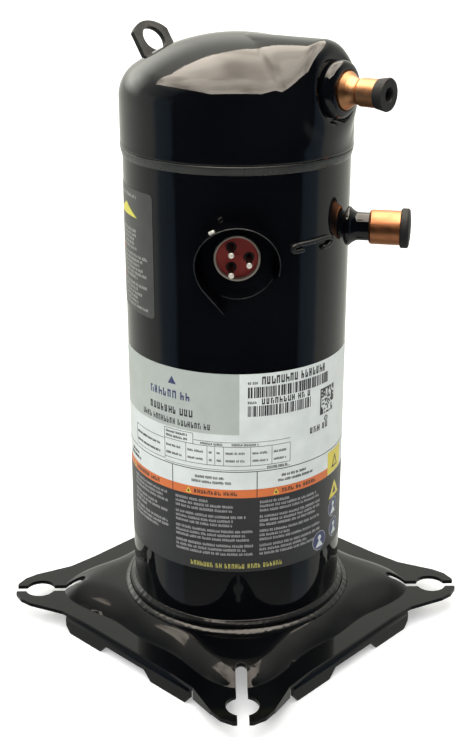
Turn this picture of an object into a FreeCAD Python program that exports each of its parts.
import FreeCAD, Part

import math
import os

# Hermetic scroll compressor, upright, millimetres, +Z up.
# The origin is on the shell axis, level with the lowest edge of the mounting plate's skirt.
# Heights in this file start at a datum a little below that edge. Every node is lowered by
# DATUM_DROP when it is written, so that the part stands on z = 0.
# The plate's four feet point along +X, +Y, -X and -Y, and the electrical terminal faces -Y.
# Radial parts are modelled pointing along +X and then turned to their azimuth, which is
# measured anticlockwise from +X seen from above.

V = FreeCAD.Vector
ORIGIN = V(0, 0, 0)
X_AXIS = V(1, 0, 0)
Y_AXIS = V(0, 1, 0)
Z_AXIS = V(0, 0, 1)

# ---- driving dimensions ----------------------------------------------------------------

BOLT_SQUARE = 190.5             # side of the square of mounting holes
BOLT_CIRCLE_RADIUS = BOLT_SQUARE / math.sqrt(2)
FOOT_HOLE_RADIUS = 10.0
FOOT_SLOT_WIDTH = 7.0
FOOT_TOP = 16.5                 # height of the feet's upper face
PLATE_THICKNESS = 2.5
DATUM_DROP = 2.2                # height of the skirts' lowest edge above the datum

SHELL_RADIUS = 68.9
SHELL_WALL = 3.0
SHELL_INSIDE = SHELL_RADIUS - SHELL_WALL
SHELL_BOTTOM = 20.5
SHELL_TOP = 331.0
CLEAR = 0.05                    # radial gap between pieces that slip over each other

CAP_EDGE = 323.2                # lower edge of the top cap's skirt
CAP_RADIUS = 70.1
CAP_WALL = 3.0
CAP_SHOULDER = 352.0            # where the skirt starts to curve in
CAP_CORNER = 21.5
CAP_CROWN = 110.5

TERMINAL_AZIMUTH = 268.6
TERMINAL_HEIGHT = 271.0
SUCTION_AZIMUTH = -12.5
SUCTION_HEIGHT = 275.5
DISCHARGE_AZIMUTH = -39.0
DISCHARGE_HEIGHT = 361.4
EYE_AZIMUTH = 135.0

ORBIT_RADIUS = 4.3              # throw of the crankpin, along +Y at rest
WRAP_PITCH = 16.0
WRAP_WALL = 3.4
WRAP_HEIGHT = 20.0
ORBIT_FLOOR = 286.0             # upper face of the orbiting scroll's plate
RUNNING_GAP = 0.3

MOTOR_BOTTOM = 92.0
MOTOR_TOP = 166.0
STATOR_BORE = 33.0
ROTOR_RADIUS = 32.4
SHAFT_RADIUS = 12.0
SLOT_COUNT = 24
SLOT_AZIMUTHS = [360 / SLOT_COUNT * step for step in range(SLOT_COUNT)]

POST_AZIMUTHS = [45.0, 135.0, 225.0, 315.0]
POST_CIRCLE = 59.8
POST_TOP = 300.0
POST_EAR_RADIUS = 5.6

# ---- helpers ---------------------------------------------------------------------------


def direction(azimuth, length=1.0):
    """Level vector of a length at an azimuth in degrees."""
    angle = math.radians(azimuth)
    return V(length * math.cos(angle), length * math.sin(angle), 0)


def disc(radius, low, high, centre=(0, 0)):
    """Upright cylinder between two heights."""
    return Part.makeCylinder(radius, high - low, V(centre[0], centre[1], low))


def ring(outer, inner, low, high, centre=(0, 0)):
    """Upright tube between two heights."""
    return disc(outer, low, high, centre).cut(disc(inner, low - 1, high + 1, centre))


def block(x_range, y_range, z_range):
    """Box given by its ranges."""
    size = [b - a for a, b in (x_range, y_range, z_range)]
    return Part.makeBox(*size, V(x_range[0], y_range[0], z_range[0]))


def turned(points, axis=Z_AXIS):
    """Solid of revolution of a closed outline of (radius, height), or (radius, x) about +X."""
    if axis == Z_AXIS:
        corners = [V(r, 0, h) for r, h in points]
    else:
        corners = [V(h, 0, r) for r, h in points]
    face = Part.Face(Part.makePolygon(corners + corners[:1]))
    return face.revolve(ORIGIN, axis, 360)


def prism(points, low, high):
    """Upright prism over a closed outline of (x, y)."""
    corners = [V(x, y, low) for x, y in points]
    return Part.Face(Part.makePolygon(corners + corners[:1])).extrude(V(0, 0, high - low))


def radial_disc(radius, near, far, side=0.0, up=0.0):
    """Cylinder along +X between two distances from the shell axis."""
    return Part.makeCylinder(radius, far - near, V(near, side, up), X_AXIS)


def placed(shape, azimuth, height=0.0):
    """A copy turned from +X to its azimuth and lifted."""
    copy = shape.copy()
    copy.rotate(ORIGIN, Z_AXIS, azimuth)
    copy.translate(V(0, 0, height))
    return copy


def joined(shapes):
    """One solid from overlapping shapes."""
    return shapes[0].multiFuse(shapes[1:]).removeSplitter()


def around(shape, azimuths):
    """Copies of a shape at several azimuths, as a list."""
    return [placed(shape, azimuth) for azimuth in azimuths]


def rounded(shape, radius, keep):
    """Fillets the edges that keep() accepts."""
    return shape.makeFillet(radius, [edge for edge in shape.Edges if keep(edge)])


def level_circle(height, radius, slack=0.05):
    """A test for circular edges at one height and radius."""
    def test(edge):
        if not isinstance(edge.Curve, Part.Circle):
            return False
        same_height = abs(edge.Curve.Center.z - height) < slack
        return same_height and abs(edge.Curve.Radius - radius) < slack
    return test


# ---- mounting plate --------------------------------------------------------------------

DISH_HEIGHT = 9.5               # rise of the plate from the feet to the shell
DISH_INNER = 75.0
DISH_AT_FOOT = 118.0            # how far the dish reaches along a foot
DISH_AT_SIDE = 89.0             # and at the middle of a side
DISH_SLOPE = 1.5                # how fast the dish rises at the middle of a side
DISH_RIDGE = 2.8                # and how much faster along a foot, where it is a narrow ridge
DISH_STEPS = [0.0, 0.12, 0.26, 0.42, 0.6, 0.8, 1.0]
SKIRT_DISTANCE = 103.5          # from the axis to the skirt's outer face
SKIRT_HALF_LENGTH = 58.5
SKIRT_BEND = 5.0
MIDDLE_SKIRT_BOTTOM = 8.4
TAB_INNER = 18.0
TAB_SLOPE_END = 24.0
SIDE_AZIMUTHS = [45.0, 135.0, 225.0, 315.0]
FOOT_AZIMUTHS = [0.0, 90.0, 180.0, 270.0]


def dish_edge(azimuth):
    """Distance from the axis to the foot of the dish: a rounded square."""
    foot_share = math.cos(math.radians(2 * azimuth)) ** 2
    return DISH_AT_SIDE + (DISH_AT_FOOT - DISH_AT_SIDE) * foot_share ** 2.2


def dish_section(inward):
    """Closed curve of the dish's upper face: inward 0 at its foot, 1 at the collar."""
    points = []
    for step in range(72):
        azimuth = step * 5.0
        foot_share = math.cos(math.radians(2 * azimuth)) ** 2
        steepness = DISH_SLOPE + DISH_RIDGE * foot_share ** 5
        height = DISH_HEIGHT * (1 - (1 - inward) ** steepness)
        radius = dish_edge(azimuth) * (1 - inward) + DISH_INNER * inward
        points.append(direction(azimuth, radius) + V(0, 0, FOOT_TOP + height))
    curve = Part.BSplineCurve()
    curve.interpolate(points, PeriodicFlag=True)
    return Part.Wire([curve.toShape()])


def foot_outline():
    """Half outline of one foot along +X, from the skirt to the tip, as (x, y)."""
    return [(101.0, 43.2), (116.5, 29.6), (139.5, 18.8), (146.4, 13.4), (150.6, 6.0), (151.0, 0.0)]


def plate_outline():
    """The whole plate's outline, foot by foot."""
    half = foot_outline()
    foot = [(x, -y) for x, y in half[:-1]] + [(x, y) for x, y in reversed(half[:-1])]
    points = []
    for azimuth in FOOT_AZIMUTHS:
        along = direction(azimuth)
        across = direction(azimuth + 90)
        points += [along * x + across * y for x, y in foot]
    return [(p.x, p.y) for p in points]


def skirt():
    """One side's turned-down skirt, with its bend, modelled facing +X."""
    outer = SKIRT_DISTANCE
    bend_start = outer - SKIRT_BEND
    low = FOOT_TOP - SKIRT_BEND
    strip = block((bend_start - 6, bend_start), (-SKIRT_HALF_LENGTH, SKIRT_HALF_LENGTH),
                  (FOOT_TOP - PLATE_THICKNESS, FOOT_TOP))
    wall = block((outer - PLATE_THICKNESS, outer), (-SKIRT_HALF_LENGTH, SKIRT_HALF_LENGTH),
                 (DATUM_DROP, low))
    start = V(bend_start, -SKIRT_HALF_LENGTH, low)
    bend = Part.makeCylinder(SKIRT_BEND, 2 * SKIRT_HALF_LENGTH, start, Y_AXIS)
    bend = bend.cut(Part.makeCylinder(SKIRT_BEND - PLATE_THICKNESS, 2 * SKIRT_HALF_LENGTH,
                                      start, Y_AXIS))
    bend = bend.common(block((bend_start, outer + 1), (-SKIRT_HALF_LENGTH, SKIRT_HALF_LENGTH),
                             (low, FOOT_TOP + 1)))
    middle = [(-TAB_SLOPE_END, 0), (TAB_SLOPE_END, 0), (TAB_SLOPE_END, DATUM_DROP),
              (TAB_INNER, MIDDLE_SKIRT_BOTTOM), (-TAB_INNER, MIDDLE_SKIRT_BOTTOM),
              (-TAB_SLOPE_END, DATUM_DROP)]
    corners = [V(outer - 5, y, z) for y, z in middle]
    gap = Part.Face(Part.makePolygon(corners + corners[:1])).extrude(V(10, 0, 0))
    shape = joined([strip, wall, bend]).cut(gap)
    for side in (-1, 1):
        corner = V(outer - 5, side * SKIRT_HALF_LENGTH, DATUM_DROP)
        notch = Part.Face(Part.makePolygon([
            corner, corner + V(0, -side * 4, 0), corner + V(0, 0, 5), corner]))
        shape = shape.cut(notch.extrude(V(10, 0, 0)))
    return shape


def foot_lip(side):
    """Tapered lip under one edge of the front or rear foot, modelled on the +X foot."""
    start = V(116.5, 29.6 * side, 0)
    end = V(139.5, 18.8 * side, 0)
    inward = V(-0.42, -0.9 * side, 0) * PLATE_THICKNESS
    top = FOOT_TOP - PLATE_THICKNESS
    face = Part.Face(Part.makePolygon([
        start + V(0, 0, top + 1), end + V(0, 0, top + 1), end + V(0, 0, top - 0.5),
        start + V(0, 0, 8.0), start + V(0, 0, top + 1)]))
    return face.extrude(inward)


def foot_cutout():
    """Keyhole of one foot along +X: the hole, and the slot that runs through it."""
    slot_end = 103.5 + FOOT_SLOT_WIDTH / 2
    half = FOOT_SLOT_WIDTH / 2
    return joined([
        disc(FOOT_HOLE_RADIUS, 0, 40, (BOLT_CIRCLE_RADIUS, 0)),
        disc(half, 0, 40, (slot_end, 0)),
        block((slot_end, 160), (-half, half), (0, 40))])


def mounting_base():
    """Pressed square plate: dished collar, four slotted feet and four turned-down skirts."""
    low = FOOT_TOP - PLATE_THICKNESS
    sheet = prism(plate_outline(), low, FOOT_TOP)
    dish = Part.makeLoft([dish_section(inward) for inward in DISH_STEPS], True, False)
    under = dish.copy()
    under.translate(V(0, 0, -PLATE_THICKNESS))
    collar = FOOT_TOP + DISH_HEIGHT
    shape = sheet.fuse(dish).cut(under).cut(disc(DISH_INNER + 2, collar, collar + 5))
    shape = shape.fuse(around(skirt(), SIDE_AZIMUTHS))
    lips = [placed(foot_lip(side), azimuth) for side in (-1, 1) for azimuth in (90, 270)]
    shape = shape.fuse(lips)
    shape = shape.cut(disc(CAP_BOTTOM_RADIUS + CLEAR, 0, 60))
    for cutout in around(foot_cutout(), FOOT_AZIMUTHS):
        shape = shape.cut(cutout)
    return shape


# ---- shell -----------------------------------------------------------------------------

CAP_BOTTOM_RADIUS = 72.2
CAP_BOTTOM_EDGE = 30.0
CAP_BOTTOM_LOW = 4.0
CAP_BOTTOM_CORNER = 16.0
PAD_RADIUS = 20.6               # flat land on the shell that carries the terminal
PAD_FACE = 67.9
TERMINAL_HOLE = 13.4
SUCTION_HOLE = 8.7


def bottom_cap():
    """Drawn cup that slips over the shell's lower end."""
    outer = disc(CAP_BOTTOM_RADIUS, CAP_BOTTOM_LOW, CAP_BOTTOM_EDGE)
    outer = rounded(outer, CAP_BOTTOM_CORNER, level_circle(CAP_BOTTOM_LOW, CAP_BOTTOM_RADIUS))
    inside = SHELL_RADIUS + CLEAR
    floor = CAP_BOTTOM_LOW + CAP_WALL
    inner = disc(inside, floor, CAP_BOTTOM_EDGE + 1)
    inner = rounded(inner, CAP_BOTTOM_CORNER - CAP_WALL, level_circle(floor, inside))
    return outer.cut(inner)


def bottom_welds():
    """Fillet welds between cap and plate, and between cap and shell."""
    collar = FOOT_TOP + DISH_HEIGHT
    plate_weld = turned([(CAP_BOTTOM_RADIUS, collar), (DISH_INNER + 1.2, collar),
                         (DISH_INNER + 0.2, collar + 1.6), (CAP_BOTTOM_RADIUS, collar + 3.0)])
    shell_weld = turned([(SHELL_RADIUS, CAP_BOTTOM_EDGE), (CAP_BOTTOM_RADIUS - 0.4, CAP_BOTTOM_EDGE),
                         (CAP_BOTTOM_RADIUS - 1.4, CAP_BOTTOM_EDGE + 1.8),
                         (SHELL_RADIUS, CAP_BOTTOM_EDGE + 3.4)])
    return Part.makeCompound([plate_weld, shell_weld])


def shell_body():
    """Rolled tube with the flat terminal land and the holes for terminal and suction."""
    tube = ring(SHELL_RADIUS, SHELL_INSIDE, SHELL_BOTTOM, SHELL_TOP)
    land = radial_disc(PAD_RADIUS, 60, PAD_FACE).cut(radial_disc(PAD_RADIUS - 3, 50, PAD_FACE - 3))
    face = radial_disc(PAD_RADIUS, PAD_FACE - 3.2, PAD_FACE)
    pad = placed(land.fuse(face), TERMINAL_AZIMUTH, TERMINAL_HEIGHT)
    pad = pad.cut(disc(SHELL_INSIDE - 3, 200, 320))
    shape = tube.cut(placed(radial_disc(PAD_RADIUS, PAD_FACE, 80), TERMINAL_AZIMUTH, TERMINAL_HEIGHT))
    shape = shape.fuse(pad)
    terminal = placed(radial_disc(TERMINAL_HOLE, 40, 90), TERMINAL_AZIMUTH, TERMINAL_HEIGHT)
    suction = placed(radial_disc(SUCTION_HOLE, 40, 90), SUCTION_AZIMUTH, SUCTION_HEIGHT)
    return shape.cut(terminal).cut(suction).removeSplitter()


def top_weld():
    """Fillet weld between the cap's lower edge and the shell."""
    return turned([(SHELL_RADIUS, CAP_EDGE), (CAP_RADIUS - 0.3, CAP_EDGE),
                   (SHELL_RADIUS + 0.9, CAP_EDGE - 3.0), (SHELL_RADIUS, CAP_EDGE - 5.3)])


def dome(wall_radius, corner, crown, skirt_points):
    """Domed solid: skirt, then a shoulder arc that runs smoothly into the crown's arc."""
    across = wall_radius - corner
    crown_centre = CAP_SHOULDER - math.sqrt((crown - corner) ** 2 - across ** 2)
    end = math.atan2(CAP_SHOULDER - crown_centre, across)

    def shoulder(angle):
        return V(across + corner * math.cos(angle), 0, CAP_SHOULDER + corner * math.sin(angle))

    def crown_point(angle):
        return V(crown * math.cos(angle), 0, crown_centre + crown * math.sin(angle))

    top = V(0, 0, crown_centre + crown)
    middle = (end + math.pi / 2) / 2
    edges = [Part.Arc(shoulder(0), shoulder(end / 2), shoulder(end)).toShape(),
             Part.Arc(shoulder(end), crown_point(middle), top).toShape()]
    path = [top] + [V(r, 0, z) for r, z in skirt_points] + [shoulder(0)]
    edges += [Part.LineSegment(a, b).toShape() for a, b in zip(path, path[1:])]
    return Part.Face(Part.Wire(Part.__sortEdges__(edges))).revolve(ORIGIN, Z_AXIS, 360)


EAR_RADIUS = 26.6               # bulge of the cap that carries the discharge fitting
EAR_FACE = 68.2
EAR_ROUND = 9.0
SEAT_RADIUS = 19.0              # flat land that the fitting stands on, cut into the skirt
CAP_STEP = 334.4                # underside of the cap's inner step, above the separator


def top_cap():
    """Drawn cap with a bulge that gives the discharge fitting a flat, upright seat."""
    inside = CAP_RADIUS - CAP_WALL
    seat = SHELL_RADIUS + CLEAR
    outer = dome(CAP_RADIUS, CAP_CORNER, CAP_CROWN,
                 [(0, CAP_EDGE), (CAP_RADIUS - 0.6, CAP_EDGE), (CAP_RADIUS + 0.3, CAP_EDGE + 1.4),
                  (CAP_RADIUS, CAP_EDGE + 5)])
    inner = dome(inside, CAP_CORNER - CAP_WALL, CAP_CROWN - CAP_WALL,
                 [(0, CAP_STEP), (inside, CAP_STEP)])
    bulge = rounded(radial_disc(EAR_RADIUS, 30, EAR_FACE), EAR_ROUND,
                    lambda edge: isinstance(edge.Curve, Part.Circle)
                    and abs(edge.CenterOfMass.x - EAR_FACE) < 0.1)
    bulge = placed(bulge, DISCHARGE_AZIMUTH, DISCHARGE_HEIGHT)
    hollow = radial_disc(EAR_RADIUS - CAP_WALL, 30, EAR_FACE - CAP_WALL)
    hollow = placed(hollow, DISCHARGE_AZIMUTH, DISCHARGE_HEIGHT)
    above_step = disc(90, CAP_STEP, 420)
    shape = outer.fuse(bulge).cut(inner).cut(hollow.common(above_step))
    shape = shape.cut(disc(seat, CAP_EDGE - 1, CAP_STEP))
    opening = radial_disc(FITTING_SPIGOT, 50, 90).fuse(radial_disc(SEAT_RADIUS, EAR_FACE, 90))
    return shape.cut(placed(opening, DISCHARGE_AZIMUTH, DISCHARGE_HEIGHT)).removeSplitter()


# ---- lifting eye, ports and plugs ------------------------------------------------------

FITTING_SPIGOT = 12.0
STUB_BORE_DISCHARGE = 6.4
STUB_BORE_SUCTION = 9.5
EYE_FOOT = V(64.2, 0, 367.3)    # where its middle line meets the dome
EYE_LEAN = 35.5                 # it stands square to the dome there
EYE_HALF_WIDTH = 14.2
EYE_SIDE_HEIGHT = 19.3
EYE_TOP_RADIUS = 18.6           # flat arc of its top edge
EYE_HOLE_HEIGHT = 13.4
EYE_HOLE_RADIUS = 8.3
EYE_THICKNESS = 3.2


def lifting_eye():
    """Flat steel eye that stands square to the dome, across the radial direction."""
    half = EYE_HALF_WIDTH
    near = -EYE_THICKNESS / 2
    arc_centre = EYE_SIDE_HEIGHT - math.sqrt(EYE_TOP_RADIUS ** 2 - half ** 2)
    plate = block((near, -near), (-half, half), (-6, EYE_SIDE_HEIGHT + 10))
    crown = radial_disc(EYE_TOP_RADIUS, near, -near, up=arc_centre)
    stem = block((near, -near), (-half, half), (-6, EYE_SIDE_HEIGHT))
    hole = radial_disc(EYE_HOLE_RADIUS, near, -near, up=EYE_HOLE_HEIGHT)
    plate = plate.common(crown.fuse(stem)).cut(hole).removeSplitter()
    plate.rotate(ORIGIN, Y_AXIS, EYE_LEAN)
    plate.translate(EYE_FOOT)
    solid_dome = dome(CAP_RADIUS, CAP_CORNER, CAP_CROWN, [(0, 330), (CAP_RADIUS, 330)])
    return placed(plate, EYE_AZIMUTH).cut(solid_dome)


def discharge_fitting():
    """Steel boss brazed on the cap's flat land, its front rounded towards the stub."""
    shape = turned([(STUB_BORE_DISCHARGE, 58.0), (FITTING_SPIGOT - CLEAR, 58.0),
                    (FITTING_SPIGOT - CLEAR, EAR_FACE), (16.2, EAR_FACE), (16.2, 73.4), (15.6, 75.2),
                    (14.2, 76.6), (11.6, 77.4), (10.9, 76.6), (STUB_BORE_DISCHARGE, 76.6)], X_AXIS)
    return placed(shape, DISCHARGE_AZIMUTH, DISCHARGE_HEIGHT)


def discharge_stub():
    """Copper stub: flared foot, waist and swaged end."""
    bore = STUB_BORE_DISCHARGE
    shape = turned([(4.9, 76.6), (10.7, 76.6), (10.7, 78.2), (9.8, 79.2), (8.6, 80.6), (7.7, 82.2),
                    (7.1, 84.0), (7.0, 85.4), (7.9, 87.2), (8.0, 97.8), (bore, 97.8), (bore, 88.6),
                    (4.9, 86.6)], X_AXIS)
    return placed(shape, DISCHARGE_AZIMUTH, DISCHARGE_HEIGHT)


def discharge_plug():
    """Rubber shipping plug with a blind hole in its face."""
    shape = turned([(0, 89.4), (5.2, 89.4), (STUB_BORE_DISCHARGE - CLEAR, 90.8),
                    (STUB_BORE_DISCHARGE - CLEAR, 97.85), (8.3, 97.85), (9.3, 103.4), (8.9, 104.2),
                    (4.2, 104.2), (3.9, 103.6), (3.9, 93.0), (0, 93.0)], X_AXIS)
    return placed(shape, DISCHARGE_AZIMUTH, DISCHARGE_HEIGHT)


def suction_fitting():
    """Steel neck welded into the shell, with its weld flare."""
    shape = turned([(7.2, 64.0), (SUCTION_HOLE - CLEAR, 64.0), (SUCTION_HOLE - CLEAR, SHELL_RADIUS - 0.6),
                    (11.9, SHELL_RADIUS - 0.6), (11.7, SHELL_RADIUS + 1.0), (10.2, SHELL_RADIUS + 2.6),
                    (8.9, SHELL_RADIUS + 4.6), (8.5, SHELL_RADIUS + 6.0), (8.5, 85.9), (7.2, 85.9)],
                   X_AXIS)
    wall = ring(SHELL_RADIUS + CLEAR, SHELL_INSIDE - 6, -40, 40)
    shape = shape.cut(wall.cut(radial_disc(SUCTION_HOLE - CLEAR, 50, 80)))
    return placed(shape, SUCTION_AZIMUTH, SUCTION_HEIGHT)


def suction_stub():
    """Copper sleeve brazed over the neck, sized for the suction line."""
    shape = turned([(8.55, 81.8), (9.6, 81.8), (10.4, 83.0), (10.4, 100.4), (STUB_BORE_SUCTION, 100.4),
                    (STUB_BORE_SUCTION, 86.4), (8.55, 86.0)], X_AXIS)
    return placed(shape, SUCTION_AZIMUTH, SUCTION_HEIGHT)


def suction_plug():
    """Rubber shipping plug with a slightly crowned face."""
    shape = turned([(0, 88.0), (8.2, 88.0), (STUB_BORE_SUCTION - CLEAR, 89.6),
                    (STUB_BORE_SUCTION - CLEAR, 100.45), (11.2, 100.45), (12.0, 101.2), (12.0, 104.6),
                    (11.2, 105.6), (7.0, 106.2), (0, 106.5)], X_AXIS)
    return placed(shape, SUCTION_AZIMUTH, SUCTION_HEIGHT)


def locating_lug():
    """Short pressed bead on the shell beside the suction port."""
    low_azimuth = 295.5
    high_azimuth = 320.5
    height = 275.2
    middle = (low_azimuth + high_azimuth) / 2
    half_length = SHELL_RADIUS * math.sin(math.radians(high_azimuth - low_azimuth) / 2)
    slim_end = 2.4
    wide_end = 3.5
    strap = joined([block((60, 80), (-half_length + slim_end, half_length - wide_end), (-2.1, 2.1)),
                    radial_disc(slim_end, 60, 80, -half_length + slim_end),
                    radial_disc(wide_end, 60, 80, half_length - wide_end)])
    shape = ring(SHELL_RADIUS + 3.0, SHELL_RADIUS, -5, 5).common(strap)
    hollow = ring(SHELL_RADIUS + 4, SHELL_RADIUS + 1.2, -6, 6)
    hollow = hollow.common(radial_disc(2.0, 60, 80, half_length - wide_end))
    return placed(shape.cut(hollow), middle, height)


# ---- electrical terminal ---------------------------------------------------------------

PIN_CIRCLE = 6.7
PIN_RADIUS = 1.6
PIN_TIP = 84.2
CUP_RADIUS = 13.3
CUP_FLOOR = 61.0
FENCE_RADIUS = 24.0
FENCE_TOP = 84.6
FENCE_LOW = 58.0
FENCE_FLATTENING = 0.885        # the strip is flatter over the top
FENCE_WALL = 0.9
PIN_ANGLES = [0.0, 120.0, 240.0]


def pin_places():
    """The three pins' (sideways, up) places on the terminal's face."""
    return [(PIN_CIRCLE * math.cos(math.radians(a)), PIN_CIRCLE * math.sin(math.radians(a)))
            for a in PIN_ANGLES]


def on_terminal(shape):
    """Turns a part modelled along +X to the terminal's place on the shell."""
    return placed(shape, TERMINAL_AZIMUTH, TERMINAL_HEIGHT)


def terminal_cup():
    """Steel cup of the hermetic terminal, with a rolled rim."""
    shape = turned([(0, CUP_FLOOR), (CUP_RADIUS, CUP_FLOOR), (CUP_RADIUS, PAD_FACE + 1.6),
                    (CUP_RADIUS - 0.4, PAD_FACE + 2.1), (CUP_RADIUS - 0.9, PAD_FACE + 2.1),
                    (CUP_RADIUS - 1.2, PAD_FACE + 1.6), (CUP_RADIUS - 1.2, CUP_FLOOR + 1.6),
                    (0, CUP_FLOOR + 1.6)], X_AXIS)
    for side, up in pin_places():
        shape = shape.cut(radial_disc(PIN_RADIUS + 1.0, 50, 90, side, up))
    return on_terminal(shape)


def terminal_glass():
    """Glass beads that seal each pin in the cup's floor."""
    beads = [radial_disc(PIN_RADIUS + 1.0, CUP_FLOOR, CUP_FLOOR + 1.6, side, up)
             .cut(radial_disc(PIN_RADIUS, 50, 90, side, up)) for side, up in pin_places()]
    return on_terminal(Part.makeCompound(beads))


def terminal_block():
    """Moulded insulator that fills the cup, with a socketed boss round each pin."""
    face = PAD_FACE - 1.4
    shape = radial_disc(CUP_RADIUS - 1.25, CUP_FLOOR + 1.65, face)
    shape = shape.fuse(radial_disc(1.9, face - 1, face + 0.5))
    for side, up in pin_places():
        shape = shape.cut(radial_disc(3.1, face - 1.4, 90, side, up))
    for side, up in pin_places():
        shape = shape.cut(radial_disc(PIN_RADIUS + CLEAR, 50, 90, side, up))
    return on_terminal(shape)


def terminal_pins():
    """Three conductor pins through the terminal."""
    pins = []
    for side, up in pin_places():
        pin = radial_disc(PIN_RADIUS, 54.0, PIN_TIP, side, up)
        ends = [edge for edge in pin.Edges if isinstance(edge.Curve, Part.Circle)]
        pins.append(pin.makeChamfer(0.4, ends))
    return on_terminal(Part.makeCompound(pins))


def terminal_fence():
    """Thin strip bent round the terminal, open low on one side, with a straight tail."""
    start = -16.0
    end = 220.0
    turns = [start + (end - start) * step / 16 for step in range(17)]
    tail_length = 18.6
    inner = FENCE_RADIUS - FENCE_WALL / 2
    outer = FENCE_RADIUS + FENCE_WALL / 2

    def at(angle, radius):
        turn = math.radians(angle)
        rise = radius * math.sin(turn)
        return V(FENCE_LOW, radius * math.cos(turn), rise if rise < 0 else rise * FENCE_FLATTENING)

    def bend(radius):
        curve = Part.BSplineCurve()
        curve.interpolate([at(angle, radius) for angle in turns])
        return curve.toShape()

    tangent = V(0, -math.sin(math.radians(end)), math.cos(math.radians(end)))
    inner_tail = at(end, inner) + tangent * tail_length
    outer_tail = at(end, outer) + tangent * tail_length
    curl = at(start - 9, inner - 1.6)
    curl_out = at(start - 9, outer - 1.6)
    edges = [bend(inner), bend(outer),
             Part.LineSegment(at(end, inner), inner_tail).toShape(),
             Part.LineSegment(inner_tail, outer_tail).toShape(),
             Part.LineSegment(outer_tail, at(end, outer)).toShape(),
             Part.LineSegment(at(start, outer), curl_out).toShape(),
             Part.LineSegment(curl_out, curl).toShape(),
             Part.LineSegment(curl, at(start, inner)).toShape()]
    strip = Part.Face(Part.Wire(Part.__sortEdges__(edges))).extrude(V(FENCE_TOP - FENCE_LOW, 0, 0))
    return on_terminal(strip.cut(disc(SHELL_RADIUS, -60, 60)))


def terminal_connector():
    """Moulded block that pushes on to the pins' inner ends, with the leads' outlets below."""
    shape = block((52.2, 59.4), (-12.0, 12.0), (-9.6, 9.6))
    for side, up in pin_places():
        shape = shape.cut(radial_disc(PIN_RADIUS + CLEAR, 53.0, 70, side, up))
    return on_terminal(shape)


def motor_leads():
    """Three leads from the upper winding straight up to the connector."""
    top = TERMINAL_HEIGHT - 9.6
    leads = []
    for step in (-1, 0, 1):
        place = direction(TERMINAL_AZIMUTH + 8 * step, 55.8)
        leads.append(disc(1.7, WINDING_TOP, top, (place.x, place.y)))
    return Part.makeCompound(leads)


# ---- labels ----------------------------------------------------------------------------

LABEL_THICKNESS = 0.15


def label(start, end, low, high, corner):
    """Thin sheet wrapped round the shell between two azimuths and two heights."""
    band = ring(SHELL_RADIUS + LABEL_THICKNESS, SHELL_RADIUS, low, high)
    sector = [(0, 0)]
    steps = 16
    for step in range(steps + 1):
        p = direction(start + (end - start) * step / steps, 120)
        sector.append((p.x, p.y))
    shape = band.common(prism(sector, low - 1, high + 1))
    upright = [e for e in shape.Edges if isinstance(e.Curve, Part.Line)
               and e.Length < 2 * LABEL_THICKNESS]
    return shape.makeFillet(corner, upright)


# ---- compression mechanism -------------------------------------------------------------

HOUSING_BORE = 15.0
JOURNAL_RADIUS = 12.5
HUB_OUTER = 20.0
HUB_INNER = 16.5
BUSH_RADIUS = 15.0
CAVITY_RADIUS = 26.0
THRUST_TOP = 277.7
FLANGE_TOP = 269.7
KEY_WIDTH = 8.0
OLDHAM_INNER = 44.8
OLDHAM_OUTER = 50.0
OLDHAM_LOW = 270.0
OLDHAM_HIGH = 275.6
FIXED_PLATE_LOW = ORBIT_FLOOR + WRAP_HEIGHT
FIXED_PLATE_TOP = 319.0
CRANKPIN_RADIUS = 8.0
BUSH_TRAVEL = 0.5


def wrap(low, high):
    """One scroll wrap: two involute flanks of one base circle, closed at both ends."""
    base = WRAP_PITCH / (2 * math.pi)
    half = WRAP_WALL / (2 * base)
    start = 3.0
    end = 16.5
    count = 90

    def flank(offset):
        points = []
        for step in range(count + 1):
            angle = start + (end - start) * step / count
            roll = angle - offset
            points.append(V(base * (math.cos(angle) + roll * math.sin(angle)),
                            base * (math.sin(angle) - roll * math.cos(angle)), low))
        curve = Part.BSplineCurve()
        curve.interpolate(points)
        return points, curve.toShape()

    outer_points, outer = flank(-half)
    inner_points, inner = flank(half)
    ends = [Part.LineSegment(outer_points[i], inner_points[i]).toShape() for i in (0, -1)]
    wire = Part.Wire(Part.__sortEdges__([outer, ends[1], inner, ends[0]]))
    return Part.Face(wire).extrude(V(0, 0, high - low))


def orbiting_scroll():
    """Plate, wrap and hub that orbit round the crank's throw."""
    plate_low = ORBIT_FLOOR - 8.0
    hub = ring(HUB_OUTER, HUB_INNER, 259.0, plate_low + 0.5)
    body = joined([disc(46.0, plate_low, ORBIT_FLOOR), hub])
    spiral = wrap(ORBIT_FLOOR - 0.5, FIXED_PLATE_LOW - RUNNING_GAP)
    spiral.rotate(ORIGIN, Z_AXIS, 180)
    body = body.fuse(spiral)
    slot_half = KEY_WIDTH / 2 + ORBIT_RADIUS + 0.4
    for side in (-1, 1):
        low_y, high_y = sorted((side * 38.0, side * 50.0))
        body = body.cut(block((-slot_half, slot_half), (low_y, high_y), (plate_low - 1, 283.4)))
    body.translate(V(0, ORBIT_RADIUS, 0))
    return body


def orbiting_bearing():
    """Liner pressed into the orbiting scroll's hub."""
    return ring(HUB_INNER, BUSH_RADIUS + CLEAR, 259.5, 277.0, (0, ORBIT_RADIUS))


def drive_bush():
    """Unloader bush between crankpin and hub, free to slide inward by its travel."""
    shape = disc(BUSH_RADIUS, 259.5, 276.5, (0, ORBIT_RADIUS))
    bore = CRANKPIN_RADIUS + CLEAR
    slot = joined([disc(bore, 250, 290, (0, ORBIT_RADIUS)),
                   disc(bore, 250, 290, (0, ORBIT_RADIUS + BUSH_TRAVEL)),
                   block((-bore, bore), (ORBIT_RADIUS, ORBIT_RADIUS + BUSH_TRAVEL), (250, 290))])
    return shape.cut(slot)


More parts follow.
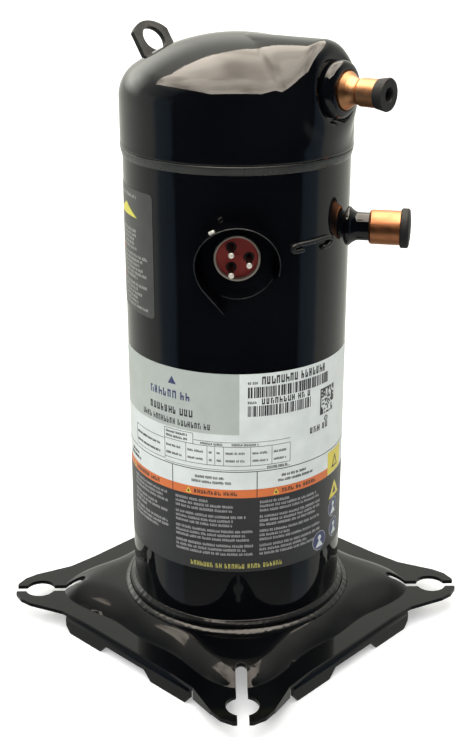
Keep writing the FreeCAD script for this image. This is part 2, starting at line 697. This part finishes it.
def fixed_scroll():
    """Non-orbiting scroll: wrap, skirt, seal groove and four ears that slide on the posts."""
    plate = disc(54.0, FIXED_PLATE_LOW, FIXED_PLATE_TOP)
    skirt_wall = ring(54.0, 49.0, ORBIT_FLOOR + RUNNING_GAP, FIXED_PLATE_LOW + 0.5)
    spiral = wrap(ORBIT_FLOOR + RUNNING_GAP, FIXED_PLATE_LOW + 0.5)
    ear_low = POST_TOP + RUNNING_GAP
    ear_high = FIXED_PLATE_LOW + 2
    ear = disc(POST_EAR_RADIUS, ear_low, ear_high, (POST_CIRCLE, 0))
    ear = ear.fuse(block((48, POST_CIRCLE), (-POST_EAR_RADIUS, POST_EAR_RADIUS), (ear_low, ear_high)))
    ears = around(ear.cut(disc(49.0, POST_TOP, FIXED_PLATE_LOW)), POST_AZIMUTHS)
    hub = ring(18.0, 5.0, FIXED_PLATE_TOP - 1, FIXED_PLATE_TOP + 3.0)
    shape = joined([plate, skirt_wall, spiral, hub] + ears)
    shape = shape.cut(ring(40.0, 20.0, FIXED_PLATE_LOW + 4, FIXED_PLATE_TOP + 1))
    shape = shape.cut(disc(5.0, FIXED_PLATE_LOW - 1, 340))
    for azimuth in POST_AZIMUTHS:
        place = direction(azimuth, POST_CIRCLE)
        shape = shape.cut(disc(3.4, 280, 330, (place.x, place.y)))
    inlet = placed(block((40, 60), (-11, 11), (ORBIT_FLOOR + 2, FIXED_PLATE_LOW - 2)), SUCTION_AZIMUTH)
    return shape.cut(inlet)


def floating_seal():
    """Ring that lifts out of the fixed scroll's groove and seals on the separator."""
    return ring(39.7, 20.3, FIXED_PLATE_LOW + 4.3, FIXED_PLATE_TOP + 5).cut(
        ring(36.0, 24.0, FIXED_PLATE_TOP + 2, FIXED_PLATE_TOP + 6))


def seal_lip():
    """Face ring on the floating seal."""
    return ring(35.9, 31.5, FIXED_PLATE_TOP + 2, FIXED_PLATE_TOP + 7.5)


def oldham_ring():
    """Anti-rotation ring: upper keys at +-Y, lower keys at +-X, the way it slides."""
    body = ring(OLDHAM_OUTER, OLDHAM_INNER, OLDHAM_LOW, OLDHAM_HIGH)
    half = KEY_WIDTH / 2
    keys = []
    for side in (-1, 1):
        low, high = sorted((side * 45.2, side * 49.6))
        keys.append(block((-half, half), (low, high), (OLDHAM_HIGH - 1, 282.6)))
        keys.append(block((low, high), (-half, half), (264.6, OLDHAM_LOW + 1)))
    return joined([body] + keys)


def main_bearing_housing():
    """Cast housing: bearing hub, thrust face, Oldham slots, legs to the shell and posts."""
    body = turned([(HOUSING_BORE, 216), (21, 216), (23, 232), (40, 246), (54, 257), (56, 260),
                   (56, FLANGE_TOP), (40, FLANGE_TOP), (40, THRUST_TOP), (CAVITY_RADIUS, THRUST_TOP),
                   (CAVITY_RADIUS, 256.5), (HOUSING_BORE, 256.5)])
    leg = block((50, SHELL_INSIDE + 2), (-11, 11), (255, 268))
    legs = [shape.common(disc(SHELL_INSIDE, 250, 270)) for shape in around(leg, POST_AZIMUTHS)]
    places = [direction(azimuth, POST_CIRCLE) for azimuth in POST_AZIMUTHS]
    posts = [disc(5.0, 262, POST_TOP, (place.x, place.y)) for place in places]
    shape = joined([body] + legs + posts)
    half = KEY_WIDTH / 2 + 0.15
    reach = 49.6 + ORBIT_RADIUS + 0.6
    for side in (-1, 1):
        low, high = sorted((side * 40.3, side * reach))
        shape = shape.cut(block((low, high), (-half, half), (264.2, FLANGE_TOP + 1)))
    for place in places:
        shape = shape.cut(disc(2.5, 283, POST_TOP + 1, (place.x, place.y)))
    notch = placed(block((43, 70), (-15, 15), (230, 272)), TERMINAL_AZIMUTH)
    return shape.cut(notch)


def main_bearing():
    """Bush pressed into the housing's hub."""
    return ring(HOUSING_BORE, JOURNAL_RADIUS + CLEAR, 217, 253)


def scroll_bolts():
    """Shouldered bolts that hold the fixed scroll down and let it float."""
    bolts = []
    for azimuth in POST_AZIMUTHS:
        place = direction(azimuth, POST_CIRCLE)
        centre = (place.x, place.y)
        head = disc(5.0, FIXED_PLATE_LOW + 3.4, FIXED_PLATE_LOW + 7.4, centre)
        socket = disc(2.2, FIXED_PLATE_LOW + 5.0, FIXED_PLATE_LOW + 8, centre)
        sleeve = disc(3.0, POST_TOP, FIXED_PLATE_LOW + 3.4, centre)
        shank = disc(2.45, 284, POST_TOP, centre)
        bolts.append(joined([head, sleeve, shank]).cut(socket))
    return Part.makeCompound(bolts)


def separator_plate():
    """Muffler plate between the low-pressure shell and the discharge space."""
    upper = CAP_STEP - CLEAR
    shape = turned([(9, SHELL_TOP + 0.2), (SHELL_RADIUS, SHELL_TOP + 0.05), (SHELL_RADIUS, upper),
                    (30, upper), (22, 339), (9, 339)])
    return shape.cut(disc(5.0, 320, 345, (0, 47)))


def valve_seat():
    """Seat ring of the discharge check valve."""
    return ring(15.0, 7.0, 339, 341.5)


def valve_disc():
    """Free disc of the discharge check valve."""
    return disc(9.4, 341.55, 342.8)


def valve_cage():
    """Cage that stops the disc's lift, with four windows."""
    cage = ring(13.0, 10.2, 341.5, 349).fuse(disc(13.0, 347.2, 349))
    for azimuth in (0, 90, 180, 270):
        cage = cage.cut(placed(block((6, 20), (-3.5, 3.5), (343.2, 346.6)), azimuth))
    return cage.cut(disc(4.0, 346, 350))


def relief_valve_body():
    """Screwed body of the internal pressure relief valve."""
    corners = [direction(60 * step, 7.5) + V(0, 47, 0) for step in range(6)]
    hexagon = prism([(p.x, p.y) for p in corners], CAP_STEP - CLEAR, 341)
    body = hexagon.fuse(disc(4.95, 327, 336, (0, 47)))
    return body.cut(disc(3.0, 330, 345, (0, 47))).cut(disc(1.8, 320, 345, (0, 47)))


def relief_valve_plunger():
    """Sprung plunger of the relief valve."""
    return disc(2.9, 330.05, 336.5, (0, 47)).fuse(disc(1.2, 336, 339, (0, 47)))


def suction_baffle():
    """Pressed shield inside the suction port."""
    shape = ring(62.2, 61.0, 258, 294)
    rim = [direction(SUCTION_AZIMUTH + turn, 90) for turn in range(-16, 17, 4)]
    shape = shape.common(prism([(0, 0)] + [(p.x, p.y) for p in rim], 250, 300))
    foot = block((61.6, SHELL_INSIDE - 0.1), (-0.6, 0.6), (258, 294))
    feet = around(foot, (SUCTION_AZIMUTH - 15, SUCTION_AZIMUTH + 15))
    return shape.fuse(feet).removeSplitter()


# ---- motor, shaft and lower bearing ----------------------------------------------------

WINDING_TOP = 190.0
WINDING_BOTTOM = 68.0
LOWER_JOURNAL = 8.0
LOWER_BUSH_OUTER = 10.5


def crankshaft():
    """Shaft with lower journal, main journal and eccentric crankpin, drilled for oil."""
    shape = joined([disc(LOWER_JOURNAL, 52, 76), disc(SHAFT_RADIUS, 76, 216),
                    disc(JOURNAL_RADIUS, 214, 256), disc(CRANKPIN_RADIUS, 256, 276, (0, ORBIT_RADIUS))])
    gallery = Part.makeCylinder(1.8, 240, V(0, 1.5, 60), V(0, 0, 1))
    return shape.cut(disc(3.6, 50, 66)).cut(gallery)


def oil_pickup():
    """Tube pressed into the shaft's lower end, reaching into the oil."""
    return turned([(2.4, 12), (4.4, 12), (5.2, 16), (3.6, 20), (3.6, 62), (2.4, 62)])


def rotor_core():
    """Laminated rotor."""
    return ring(ROTOR_RADIUS, SHAFT_RADIUS, MOTOR_BOTTOM, MOTOR_TOP)


def rotor_end_rings():
    """Cast end rings with fan blades, one at each end of the rotor."""
    blades = around(block((20, 28), (-1.2, 1.2), (MOTOR_TOP + 5.5, MOTOR_TOP + 9)), (0, 180))
    upper = joined([ring(31.0, 18.0, MOTOR_TOP, MOTOR_TOP + 6)] + blades)
    lower = ring(31.0, 18.0, MOTOR_BOTTOM - 6, MOTOR_BOTTOM)
    return Part.makeCompound([upper, lower])


def counterweight(low, high, side):
    """Half ring on the rotor's end, on one side of the shaft."""
    shape = ring(30.5, SHAFT_RADIUS + 1.0, low, high)
    return shape.common(block((-35, 35), sorted((side * 2.0, side * 35.0)), (low, high)))


def upper_counterweight():
    """Balance weight above the rotor, opposite the crankpin."""
    weight = counterweight(MOTOR_TOP + 6, MOTOR_TOP + 20, -1)
    return weight.cut(block((-32, 32), (-1.6, 1.6), (MOTOR_TOP, MOTOR_TOP + 10)))


def lower_counterweight():
    """Balance weight below the rotor, on the crankpin's side."""
    return counterweight(MOTOR_BOTTOM - 15, MOTOR_BOTTOM - 6, 1)


def stator_core():
    """Laminated stator with slots inside and six flats outside for oil and gas."""
    through = (MOTOR_BOTTOM - 1, MOTOR_TOP + 1)
    flats = around(block((64.6, 70), (-12, 12), through), range(0, 360, 60))
    slot = block((STATOR_BORE - 1, 37), (-1.0, 1.0), through).fuse(block((36, 52), (-2.2, 2.2), through))
    return ring(SHELL_INSIDE, STATOR_BORE, MOTOR_BOTTOM, MOTOR_TOP).cut(flats + around(slot, SLOT_AZIMUTHS))


def slot_coils():
    """Copper that fills the stator's slots."""
    bar = block((37.0, 51.6), (-2.0, 2.0), (MOTOR_BOTTOM, MOTOR_TOP))
    return Part.makeCompound(around(bar, SLOT_AZIMUTHS))


def winding(low, high):
    """End turns of the winding, as one bundled ring."""
    shape = ring(59.0, 36.0, low, high)
    return rounded(shape, 6.0, lambda edge: isinstance(edge.Curve, Part.Circle) and edge.Curve.Radius > 50)


def overload_protector():
    """Line-break protector tied on the upper winding."""
    shape = block((42, 55), (-9, 9), (WINDING_TOP, WINDING_TOP + 8))
    shape = rounded(shape, 2.0, lambda edge: abs(edge.Vertexes[0].Z - edge.Vertexes[1].Z) > 5)
    return placed(shape, 90)


def lower_bearing_bracket():
    """Three-armed bracket welded to the shell, with the lower bearing's hub."""
    hub = turned([(LOWER_BUSH_OUTER, 51.5), (6.0, 51.5), (6.0, 47.5), (15, 47.5), (15, 65.5),
                  (LOWER_BUSH_OUTER, 65.5)])
    arm = block((12.5, SHELL_INSIDE + 2), (-9, 9), (54, 58)).fuse(
        block((62, SHELL_INSIDE + 2), (-9, 9), (50, 64)))
    arms = [shape.common(disc(SHELL_INSIDE, 40, 70)) for shape in around(arm, (90, 210, 330))]
    return joined([hub] + arms)


def lower_bearing():
    """Bush in the bracket's hub."""
    return ring(LOWER_BUSH_OUTER, LOWER_JOURNAL + CLEAR, 53.2, 65.5)


def thrust_washer():
    """Washer that carries the shaft's weight."""
    return ring(10.0, 5.8, 51.5, 51.98)


# ---- build -----------------------------------------------------------------------------

NODES = {
    "mounting_base": mounting_base,
    "bottom_cap": bottom_cap,
    "bottom_welds": bottom_welds,
    "shell_body": shell_body,
    "top_weld": top_weld,
    "top_cap": top_cap,
    "lifting_eye": lifting_eye,
    "discharge_fitting": discharge_fitting,
    "discharge_stub": discharge_stub,
    "discharge_plug": discharge_plug,
    "suction_fitting": suction_fitting,
    "suction_stub": suction_stub,
    "suction_plug": suction_plug,
    "locating_lug": locating_lug,
    "terminal_cup": terminal_cup,
    "terminal_glass": terminal_glass,
    "terminal_block": terminal_block,
    "terminal_pins": terminal_pins,
    "terminal_fence": terminal_fence,
    "terminal_connector": terminal_connector,
    "motor_leads": motor_leads,
    "main_label": lambda: label(186.0, 352.0, 68.0, 200.4, 3.0),
    "side_label": lambda: label(150.0, 223.6, 227.4, 302.4, 3.0),
    "orbiting_scroll": orbiting_scroll,
    "orbiting_bearing": orbiting_bearing,
    "drive_bush": drive_bush,
    "fixed_scroll": fixed_scroll,
    "floating_seal": floating_seal,
    "seal_lip": seal_lip,
    "oldham_ring": oldham_ring,
    "main_bearing_housing": main_bearing_housing,
    "main_bearing": main_bearing,
    "scroll_bolts": scroll_bolts,
    "separator_plate": separator_plate,
    "valve_seat": valve_seat,
    "valve_disc": valve_disc,
    "valve_cage": valve_cage,
    "relief_valve_body": relief_valve_body,
    "relief_valve_plunger": relief_valve_plunger,
    "suction_baffle": suction_baffle,
    "crankshaft": crankshaft,
    "oil_pickup": oil_pickup,
    "rotor_core": rotor_core,
    "rotor_end_rings": rotor_end_rings,
    "upper_counterweight": upper_counterweight,
    "lower_counterweight": lower_counterweight,
    "stator_core": stator_core,
    "slot_coils": slot_coils,
    "upper_winding": lambda: winding(MOTOR_TOP, WINDING_TOP),
    "lower_winding": lambda: winding(WINDING_BOTTOM, MOTOR_BOTTOM),
    "overload_protector": overload_protector,
    "lower_bearing_bracket": lower_bearing_bracket,
    "lower_bearing": lower_bearing,
    "thrust_washer": thrust_washer,
}


def main():
    """Writes one STEP file per node and prints each one's solids, volume and validity."""
    os.makedirs("parts", exist_ok=True)
    for name, make in NODES.items():
        shape = make()
        shape.translate(V(0, 0, -DATUM_DROP))
        shape.exportStep(f"parts/{name}.step")
        box = shape.BoundBox
        print(f"{name}: solids {len(shape.Solids)}, volume {shape.Volume:.1f}, valid {shape.isValid()}, "
              f"z {box.ZMin:.2f} to {box.ZMax:.2f}, x {box.XMin:.1f} to {box.XMax:.1f}, "
              f"y {box.YMin:.1f} to {box.YMax:.1f}")


main()
